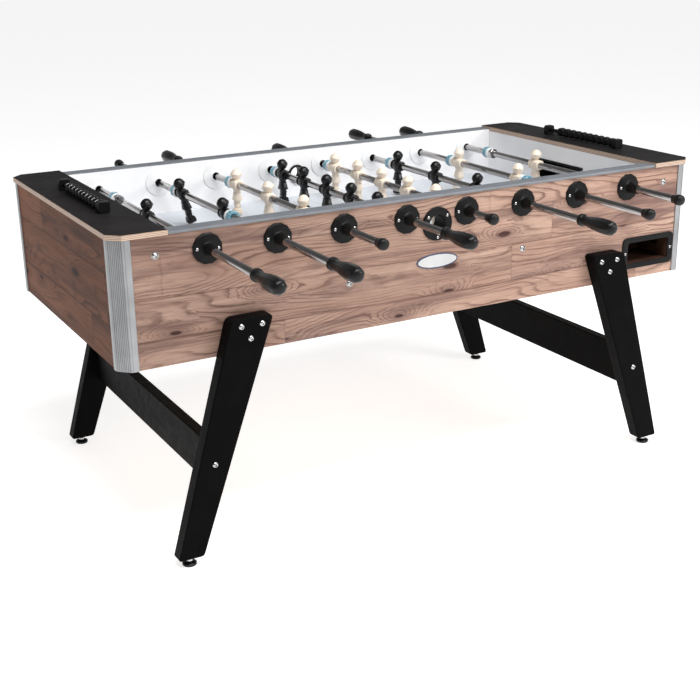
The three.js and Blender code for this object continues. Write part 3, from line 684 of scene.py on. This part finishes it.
# ---- ball entry cups, ball returns, plate and panel screws ----
for side, where in ((-1, "front"), (1, "rear")):
    outer = side * (OUT_Y + 0.0003)
    inner = side * (IN_Y - 0.006)
    lo, hi = box(f"{where}_ball_entry_cup")
    c = (lo + hi) / 2
    depth = abs(outer - inner)
    rim = [(0.0186, 0.0006), (0.0204, 0.0034), (0.0230, 0.0042), (0.0345, 0.0042), (0.0362, 0.0030), (0.0366, 0.0002)]
    rim += [(0.0230, 0.0002), (0.0230, 0.0016 - depth), (0.0216, -depth), (0.0198, -depth), (0.0186, 0.0014 - depth)]
    cup_piece = Build().lathe([(r, h * side) for r, h in rim], (c.x, outer, c.z), "Y", 56, 0, None, 0.0, True)
    stands_for = [f"{where}_ball_entry_cup"]
    cup_piece.make(f"{where}_entry_ring", [BLACK_PLASTIC], "table", "black_plastic", stands_for, sharp=30)
    screws = Build()
    for angle in (145, 35, 270):
        dx, dz = 0.0288 * math.cos(math.radians(angle)), 0.0288 * math.sin(math.radians(angle))
        dome_screw(screws, c.x + side * dx, outer + side * 0.0042, c.z + dz, 0.0036, 0.0022, side)
    screws.make(f"{where}_entry_screws", [CHROME_BRIGHT], "table", "chrome_rod")

    lo, hi = box(f"{where}_ball_return_tray")
    x0, x1, z0, z1 = lo.x, hi.x, lo.z, hi.z
    cx, cz = (x0 + x1) / 2, (z0 + z1) / 2
    rim_x, rim_z = 0.016, 0.013
    face = side * (OUT_Y + 0.0003)
    bezel = Build().prism(rounded(rectangle(x0, x1, z0, z1), 0.014), "Y", *sorted((face, face + side * 0.003)))
    bezel = bezel.make(f"{where}_return_bezel", [BLACK_PLASTIC], None)
    hole = rounded(rectangle(x0 + rim_x, x1 - rim_x, z0 + rim_z, z1 - rim_z), 0.006)
    gap = Build().prism(hole, "Y", *sorted((face - side * 0.01, face + side * 0.01)))
    carve(bezel, gap.make("gap", [BLACK_PLASTIC], None))
    ease = bezel.modifiers.new("eased_edges", "BEVEL")
    ease.width, ease.segments, ease.limit_method = 0.0009, 2, "ANGLE"
    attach(bezel, "table")
    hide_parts(f"{where}_ball_return_tray")
    tray = Build()
    wall = 0.0035
    a0, a1, b0, b1 = x0 + rim_x, x1 - rim_x, z0 + rim_z, z1 - rim_z
    mouth_y = face - side * 0.0008
    back_y = face - side * 0.105
    inner_y = side * (IN_Y - 0.001)
    tray.block(a0 - wall, a1 + wall, *sorted((mouth_y, back_y)), b0 - wall, b0)
    tray.block(a0 - wall, a0, *sorted((mouth_y, back_y)), b0 + 0.0001, cz)
    tray.block(a1, a1 + wall, *sorted((mouth_y, back_y)), b0 + 0.0001, cz)
    tray.block(a0 - wall, a0, *sorted((mouth_y, inner_y)), cz, b1 + wall)
    tray.block(a1, a1 + wall, *sorted((mouth_y, inner_y)), cz, b1 + wall)
    tray.block(a0, a1, *sorted((mouth_y, inner_y)), b1, b1 + wall)
    tray.block(a0, a1, *sorted((back_y, back_y + side * wall)), b0, b1)
    # the tray walls take the near-black brown: painted shade inside the recess
    tray.make(f"{where}_return_tray", [SHADED_TRAY_BROWN], "table", "pine_laminate")
    screws = Build()
    for sx in (-1, 1):
        dome_screw(screws, cx + sx * (a1 - cx + 0.008), face + side * 0.003, cz, 0.0036, 0.002, side)
    screws.make(f"{where}_return_screws", [CHROME_BRIGHT], "table", "chrome_rod")

    screws = Build()
    for x, z in ((-0.631, 0.652), (0.635, 0.652), (0.228, 0.547), (-0.214, 0.534)):
        dome_screw(screws, -side * x, side * OUT_Y, z, 0.0068, 0.0042, side)
        ring = [(0.0070, 0.0), (0.0078, 0.0), (0.0078, 0.0006), (0.0070, 0.0008)]
        screws.lathe([(r, h * side) for r, h in ring], (-side * x, side * OUT_Y, z), "Y", 24, 0, None, 0.0, True)
    screws.make(f"{where}_panel_screws", [CHROME_BRIGHT], "table", "chrome_rod")

# a plain oval enamel plate with a navy rim
plate = Build()
plate_at = Matrix.Translation((0.001, -OUT_Y, 0.552))
for a, b, y0, y1, mat in ((0.052, 0.0165, 0.0, -0.0016, 0), (0.0488, 0.0135, -0.0016, -0.0022, 1)):
    ring = [(a * math.cos(t * math.pi / 32), b * math.sin(t * math.pi / 32)) for t in range(64)]
    plate.prism(ring, "Y", y1, y0, mat, plate_at)
plate.make("name_plate_blank", [NAVY, ENAMEL], "table", "white_plastic", sharp=30, bevel=0.0004)

# ---- legs, stretchers and feet ----
for where, sy in (("front", -1), ("rear", 1)):
    for hand, sx in (("left", -1), ("right", 1)):
        lo, hi = box(f"leg_{where}_{hand}")
        leg_top, leg_bottom = hi.z, lo.z
        shape = [(0.581, leg_bottom), (0.637, leg_bottom), (0.497, leg_top), (0.404, leg_top)]
        leg = Build().prism(mirrored(rounded(shape, 0.014, 6, 0.2, 0.007), sx), "Y", lo.y, hi.y)
        leg = leg.make(f"{where}_{hand}_leg", [BLACK_LACQUER], None, sharp=30)
        ease = leg.modifiers.new("eased_edges", "BEVEL")
        ease.width, ease.segments, ease.limit_method, ease.angle_limit = 0.006, 5, "ANGLE", math.radians(50)
        ease.harden_normals = True
        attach(leg, "table")
        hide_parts(f"leg_{where}_{hand}")
        face = lo.y if sy < 0 else hi.y
        bolts = Build()
        for x, z in ((0.476, 0.494), (0.431, 0.494), (0.457, 0.467), (0.547, 0.215)):
            dome_screw(bolts, sx * x, face, z, 0.0066, 0.0040, sy)
        bolts.make(f"{where}_{hand}_leg_bolts", [CHROME_BRIGHT], "table", "chrome_rod")

        node = f"levelling_foot_{where}_{hand}"
        lo, hi = box(node)
        c = (lo + hi) / 2
        pad = Build()
        pad.lathe(
            [(0.0001, 0.0), (0.0138, 0.0), (0.015, 0.0012), (0.015, 0.0052), (0.0125, 0.0072), (0.0085, 0.0088),
             (0.007, 0.0092), (0.0001, 0.0092)], (c.x, c.y, lo.z), "Z", 36, 0)
        pad.lathe([(0.0001, 0.0092), (0.0072, 0.0092), (0.0078, 0.0098), (0.0078, 0.0138), (0.0072, 0.0146),
                   (0.0001, 0.0146)], (c.x, c.y, lo.z), "Z", 6, 1)
        thread = [(0.0001, 0.0146), (0.0044, 0.0146)]
        for k in range(14):
            thread += [(0.0049, 0.0150 + k * 0.0015), (0.0042, 0.01575 + k * 0.0015)]
        thread += [(0.0042, 0.039), (0.0001, 0.039)]
        pad.lathe(thread, (c.x, c.y, lo.z), "Z", 20, 1)
        pad.make(f"foot_{where}_{hand}", [BLACK_GRIP, CHROME_BRIGHT], node, "black_rubber", [node], sharp=30)

for hand in ("left", "right"):
    node = f"stretcher_{hand}"
    lo, hi = box(node)
    board = Build().block(lo.x, hi.x, lo.y, hi.y, lo.z, hi.z)
    board.make(f"{hand}_stretcher", [BLACK_LACQUER], "table", "black_wood", [node], bevel=0.003, steps=3)

# ---- score counters ----
for side, hand in ((-1, "left"), (1, "right")):
    lo, hi = box(f"score_bar_{hand}")
    cx = (lo.x + hi.x) / 2
    base, top = lo.z, hi.z
    bar_z = TOP_Z + 0.013
    post = rounded(rectangle(lo.x, hi.x, base, top), 0.006, 5)
    posts = Build()
    posts.prism(post, "Y", lo.y, lo.y + 0.015)
    posts.prism(post, "Y", hi.y - 0.015, hi.y)
    stands_for = [f"score_bar_{hand}"]
    posts.make(f"score_posts_{hand}", [BLACK_PLASTIC], "table", "black_plastic", stands_for, bevel=0.0015, steps=3)
    bar = Build().lathe([(0.0042, lo.y + 0.002), (0.0042, hi.y - 0.002)], (cx, 0, bar_z), "Y", 24)
    bar.make(f"score_rod_{hand}", [BLACK_PLASTIC], "table", "black_plastic")
    lo, hi = box(f"score_beads_{hand}")
    count = 10
    pitch = (hi.y - lo.y) / count
    for k in range(count):
        bead = Build()
        y = lo.y + k * pitch
        rings = []
        for at, r in (
            (0.0003, 0.0070), (0.0016, 0.0084), (0.0075, 0.0105), (pitch - 0.0075, 0.0105), (pitch - 0.0016, 0.0084),
            (pitch - 0.0003, 0.0070),
        ):
            ring = []
            for t in range(32):
                a = 2 * math.pi * t / 32
                flat = r / max(abs(math.cos(a)), abs(math.sin(a)))
                reach = min(flat, r * 1.16) * 0.97
                ring.append((cx + reach * math.cos(a), y + at, bar_z + reach * math.sin(a)))
            rings.append(ring)
        bore = [hoop(0.0038, y + at, 32, cx, bar_z) for at in (pitch - 0.0003, 0.0003)]
        bead.loft(rings + bore, closed=True)
        extra = {"replaces": [f"score_beads_{hand}"]} if k == 0 else {}
        tilted = Matrix.Translation((cx, y + pitch / 2, bar_z)) @ Matrix.Rotation(side * math.radians(38), 4, "Y")
        tilted = tilted @ Matrix.Rotation(math.radians(-28), 4, "Z")
        bead.block(-0.0038, 0.0038, -0.0007, 0.0007, 0.0108, 0.0122, 1, tilted)
        mats = [BLACK_PLASTIC, WHITE_PLASTIC]
        bead.make(f"score_bead_{hand}_{k + 1}", mats, f"score_beads_{hand}", "black_plastic", sharp=50, **extra)


# ---- player rods ----
def player(build, y, turn, face=1):
    """One player on the rod at y: capped head, hands on the rod, flared shorts, knees and a wedge boot."""
    sections = [
        (0.0140, 0.0052, 0.0050, 0.0), (0.0118, 0.0056, 0.0054, 0.0), (0.0104, 0.0098, 0.0080, 0.0),
        (0.0086, 0.0140, 0.0104, 0.0), (0.0050, 0.0158, 0.0118, 0.0), (-0.0010, 0.0160, 0.0122, 0.0),
        (-0.0060, 0.0146, 0.0116, 0.0), (-0.0100, 0.0112, 0.0098, 0.0), (-0.0150, 0.0086, 0.0078, 0.0),
        (-0.0185, 0.0084, 0.0074, 0.0), (-0.0198, 0.0096, 0.0084, 0.0), (-0.0212, 0.0098, 0.0086, 0.0),
        (-0.0222, 0.0092, 0.0080, 0.0), (-0.0290, 0.0112, 0.0092, 0.0), (-0.0362, 0.0136, 0.0106, 0.0),
        (-0.0372, 0.0134, 0.0104, 0.0), (-0.0376, 0.0092, 0.0074, 0.0), (-0.0410, 0.0080, 0.0066, 0.0004),
        (-0.0440, 0.0086, 0.0074, 0.0010), (-0.0468, 0.0082, 0.0070, 0.0006), (-0.0484, 0.0072, 0.0060, 0.0),
        (-0.0496, 0.0088, 0.0072, 0.0), (-0.0512, 0.0088, 0.0072, 0.0), (-0.0540, 0.0082, 0.0066, 0.0),
        (-0.0568, 0.0080, 0.0064, 0.0), (-0.0580, 0.0104, 0.0086, 0.0006), (-0.0620, 0.0112, 0.0100, 0.0012),
        (-0.0680, 0.0114, 0.0112, 0.0012), (-0.0712, 0.0108, 0.0106, 0.0010), (-0.0725, 0.0094, 0.0092, 0.0008),
    ]
    n = 28
    rings = []
    for z, wide, deep, shift in sections:
        power = 0.34 if z < -0.0575 else 0.55 if z < -0.019 else 0.75
        ring = []
        for k in range(n):
            a = 2 * math.pi * k / n
            c, s = math.cos(a), math.sin(a)
            px = deep * math.copysign(abs(c) ** power, c)
            py = wide * math.copysign(abs(s) ** power, s)
            ring.append((px + shift * face, y + py, z))
        rings.append(ring)
    build.loft(rings, 0, turn)

    def near(value, at, width):
        return math.exp(-(((value - at) / width) ** 2))

    head = []
    for k in range(1, 22):
        t = math.pi * k / 22
        r, h = math.sin(t), math.cos(t)
        ring = []
        for j in range(36):
            a = 2 * math.pi * j / 36
            front = math.cos(a) * face
            aside = abs(math.sin(a))
            reach = 0.0128 * r * (1.0 - 0.09 * max(0.0, -h) ** 1.5)
            reach += 0.0009 * near(h, 0.20, 0.10) + 0.0020 * near(h, 0.20, 0.07) * max(0.0, front)
            reach += 0.0028 * near(h, -0.12, 0.13) * max(0.0, front) ** 18
            reach += 0.0013 * near(h, -0.60, 0.12) * max(0.0, front) ** 6
            reach += 0.0011 * near(h, -0.05, 0.22) * near(aside, 1.0, 0.05)
            reach -= 0.0013 * near(h, 0.02, 0.09) * near(aside, 0.42, 0.2) * (front > 0)
            ring.append((reach * math.cos(a), y + reach * math.sin(a) * 0.95, 0.0240 + 0.0136 * h))
        head.append(ring)
    build.loft(head, 0, turn)
    for s in (-1, 1):
        cuff = [(0.0080, 0.0), (0.0104, 0.0002), (0.0114, 0.0010), (0.0112, 0.0030), (0.0122, 0.0040)]
        cuff += [(0.0124, 0.0052), (0.0112, 0.0062), (0.0080, 0.0064)]
        build.lathe([(r, y + s * (0.0120 + h)) for r, h in cuff], (0, 0, 0), "Y", 24, 0, turn, 0.0, True)
        build.lathe(
            [(0.0002, -0.0046), (0.0026, -0.0036), (0.0036, 0.0), (0.0026, 0.0036), (0.0002, 0.0046)],
            (0.0088 * face, y + s * 0.0128, 0.0046), "Z", 12, 0, turn)


def bumper_parts(build, y0, y1, wall_high, turn):
    """A bumper between y0 and y1: a lobed blue ring on the wall side and a white ring on the players' side."""
    length = y1 - y0
    blue = (y1 - 0.62 * length, y1) if wall_high else (y0, y0 + 0.62 * length)
    white = (y0, y1 - 0.62 * length - 0.0004) if wall_high else (y0 + 0.62 * length + 0.0004, y1)
    n = 60
    spots = [blue[0], blue[0] + 0.0015, (blue[0] + blue[1]) / 2, blue[1] - 0.0015, blue[1]]
    shape = []
    for y, r in zip(spots, (0.0128, 0.0142, 0.0147, 0.0142, 0.0128)):
        ring = []
        for k in range(n):
            a = 2 * math.pi * k / n
            reach = r * (0.965 + 0.035 * math.cos(10 * a))
            ring.append((reach * math.cos(a), y, reach * math.sin(a)))
        shape.append(ring)
    for y in (blue[1], blue[0]):
        shape.append(hoop(0.0087, y, n))
    build.loft(shape, 0, turn, closed=True)
    a, b = white
    ring = [(0.0087, a), (0.0124, a), (0.0134, a + 0.001), (0.0134, b - 0.001), (0.0124, b), (0.0087, b)]
    build.lathe(ring, (0, 0, 0), "Y", 40, 1, turn, 0.0, True)


def grip(build, side, start, turn):
    """A handle from start outwards: a round collar, a slim neck and a faceted bulb."""
    sections = [
        (0.0, 0.0112, 0), (0.0006, 0.0124, 0), (0.0018, 0.0130, 0), (0.0082, 0.0130, 0), (0.0096, 0.0124, 0),
        (0.0112, 0.0108, 0.1), (0.0150, 0.0103, 0.4), (0.0230, 0.0104, 0.9), (0.0330, 0.0116, 1), (0.0450, 0.0136, 1),
        (0.0580, 0.0153, 1), (0.0700, 0.0160, 1), (0.0820, 0.0161, 1), (0.0900, 0.0155, 1), (0.0960, 0.0140, 0.9),
        (0.1000, 0.0115, 0.7), (0.1025, 0.0084, 0.4), (0.1037, 0.0046, 0.1), (0.1040, 0.0006, 0),
    ]
    n = 48
    rings = []
    for at, r, edge in sections:
        ring = []
        for k in range(n):
            a = 2 * math.pi * k / n
            part = (a % (math.pi / 4)) - math.pi / 8
            facet = math.cos(math.pi / 8) / math.cos(part)
            reach = r * (1 - edge + edge * (0.2 + 0.8 * facet / 0.975))
            ring.append((reach * math.cos(a), start + side * at, reach * math.sin(a)))
        rings.append(ring)
    build.loft(rings, 0, turn)


BUMPER_AT = {1: 0.194, 2: 0.145, 3: 0.196, 5: 0.253}
HANDLE_AT = {1: 0.551, 2: 0.599, 3: 0.550, 5: 0.492}
CAP_AT = {1: 0.496, 2: 0.561, 3: 0.494, 5: 0.429}
SHIFT = {1: 0.0, 2: -0.007, 3: 0.0, 5: -0.007}
for i in range(1, RODS + 1):
    men = MEN[i - 1]
    start = BUMPER_AT[men]
    lo, hi = box(f"rod_{i}_bumper")
    length = hi.y - lo.y
    slide = lo.y - start
    centre = Vector(((lo.x + hi.x) / 2, slide, (lo.z + hi.z) / 2))
    turn = Matrix.Translation(centre) @ Matrix.Rotation(-math.radians(TILT[i - 1]), 4, "Y")
    side = -1 if FRONT_HANDLE[i - 1] else 1
    body = f"rod_{i}"
    handle_start = side * HANDLE_AT[men] + SHIFT[men]
    handle_end = handle_start + side * 0.083
    cap_start = -side * CAP_AT[men] + SHIFT[men]

    a, b = sorted((handle_end, cap_start - side * 0.018))
    tube = Build()
    eased = ROD_R - 0.001
    outline = [(0.0001, a), (eased, a), (ROD_R, a + 0.001), (ROD_R, b - 0.001), (eased, b), (0.0001, b)]
    tube.lathe(outline, (0, 0, 0), "Y", 40, 0, turn)
    tube.make(f"tube_{i}", [CHROME], body, "chrome_rod", [f"rod_{i}"], sharp=50)

    cap = Build()
    profile = [(0.0082, 0.0), (0.0096, 0.0006), (0.0100, 0.0020), (0.0099, 0.0060)]
    profile += [(0.0104, 0.0085), (0.0115, 0.0110), (0.0120, 0.0140), (0.0120, 0.0200), (0.0113, 0.0232)]
    profile += [(0.0094, 0.0256), (0.0060, 0.0268), (0.0001, 0.0270)]
    cap.lathe([(r, cap_start - side * h) for r, h in profile], (0, 0, 0), "Y", 32, 0, turn)
    cap.make(f"end_cap_{i}", [BLACK_GRIP], body, "black_rubber", sharp=35)

    handle = Build()
    grip(handle, side, handle_start, turn)
    handle.make(f"grip_{i}", [BLACK_GRIP], body, "black_rubber", [f"rod_{i}_handle"], sharp=50)

    team = BLACK_TEAM if TEAM[i - 1] == "black" else CREAM_TEAM
    slot = "black_plastic" if TEAM[i - 1] == "black" else "cream_plastic"
    facing = 1 if TEAM[i - 1] == "black" else -1
    for k in range(men):
        man = Build()
        player(man, (k - (men - 1) / 2) * SPACING[men], turn, facing)
        man.make(f"player_{i}_{k + 1}", [team], body, slot, sharp=45)

    straight = Matrix.Translation(centre)
    far, near = Build(), Build()
    bumper_parts(far, start, start + length, True, straight)
    bumper_parts(near, -start - length, -start, False, straight)
    ring_body = f"rod_{i}_bumper"
    far.make(f"bumper_far_{i}", [BLUE, WHITE_PLASTIC], ring_body, "blue_plastic", [ring_body], sharp=35)
    near.make(f"bumper_near_{i}", [BLUE, WHITE_PLASTIC], f"rod_{i}_bumper", "blue_plastic", sharp=35)
    if men == 1:
        collars = Build()
        for y0 in (start - 0.0125, -start + 0.0005):
            ring = [(0.0079, 0.0), (0.0118, 0.0), (0.0125, 0.0007)]
            ring += [(0.0125, 0.0113), (0.0118, 0.012), (0.0079, 0.012)]
            collars.lathe([(r, y0 + h) for r, h in ring], (0, 0, 0), "Y", 36, 0, turn, 0.0, True)
        collars.make(f"stop_collars_{i}", [CHROME_BRIGHT], body, "chrome_rod", sharp=35)

# ---- stage: floor, light and camera ----
floor = Build().block(-30, 30, -30, 30, FLOOR_Z - 0.02, FLOOR_Z - 0.0005)
g = Graph("stage_floor")
greys = [(0.3, (0.74, 0.74, 0.74)), (0.7, (0.76, 0.76, 0.76))]
g.set(Base_Color=g.ramp(g.noise(2.0, 2.0, 0.5), greys), Roughness=0.9)
g.set(Emission_Color=(1.0, 1.0, 1.0, 1.0), Emission_Strength=0.72, Specular_IOR_Level=0.0)
floor = floor.make("stage_floor_plane", [g.mat], None)

# the studio is dim overhead and to the left, and pale towards the right
world = bpy.data.worlds.new("studio")
world.use_nodes = True
tree = world.node_tree
way = tree.nodes.new("ShaderNodeTexCoord").outputs["Generated"]
parts = tree.nodes.new("ShaderNodeSeparateXYZ")
tree.links.new(way, parts.inputs[0])


def blend(op, a, b):
    node = tree.nodes.new("ShaderNodeMath")
    node.operation = op
    for socket, value in zip(node.inputs, (a, b)):
        if isinstance(value, bpy.types.NodeSocket):
            tree.links.new(value, socket)
        else:
            socket.default_value = value
    return node.outputs[0]


low = blend("SUBTRACT", 1.0, blend("ABSOLUTE", parts.outputs["Z"], 0.0))
low = blend("POWER", low, 3.0)
sidelong = blend("MULTIPLY", parts.outputs["X"], 0.16)
brightness = blend("ADD", blend("ADD", 0.2, sidelong), blend("MULTIPLY", low, 0.55))
tree.links.new(brightness, tree.nodes["Background"].inputs[1])
tree.nodes["Background"].inputs[0].default_value = (1.0, 1.0, 1.0, 1)
bpy.context.scene.world = world
bpy.context.scene.view_settings.view_transform = "Standard"


def lamp(name, place, target, size, power):
    data = bpy.data.lights.new(name, "AREA")
    data.shape = "RECTANGLE"
    data.size, data.size_y = size
    data.energy = power
    obj = bpy.data.objects.new(name, data)
    obj.location = place
    obj.rotation_mode = "QUATERNION"
    obj.rotation_quaternion = (Vector(target) - Vector(place)).to_track_quat("-Z", "Y")
    bpy.context.scene.collection.objects.link(obj)


lamp("key", (2.7, -3.3, 2.0), (0.2, 0, 0.5), (1.6, 1.2), 58)
lamp("top", (0.1, -1.5, 3.4), (0, 0.1, 0.6), (3.2, 1.2), 125)

camera_data = bpy.data.cameras.new("camera")
camera_data.sensor_width = 36.0
camera_data.lens = 1204.69 / 700 * 36.0
camera_data.clip_end = 200
camera = bpy.data.objects.new("camera", camera_data)
azimuth, elevation, roll = math.radians(-28.873), math.radians(19.260), math.radians(-0.917)
flat = math.cos(elevation)
back = Vector((math.sin(azimuth) * flat, -math.cos(azimuth) * flat, math.sin(elevation)))
right = (-back).cross(Vector((0, 0, 1))).normalized()
up = right.cross(-back)
turned = right * math.cos(roll) + up * math.sin(roll)
risen = up * math.cos(roll) - right * math.sin(roll)
CAMERA_AT = (-1.37321, -2.44647, 1.22603)
camera.matrix_world = Matrix.Translation(CAMERA_AT) @ Matrix((turned, risen, back)).transposed().to_4x4()
bpy.context.scene.collection.objects.link(camera)
bpy.context.scene.camera = camera
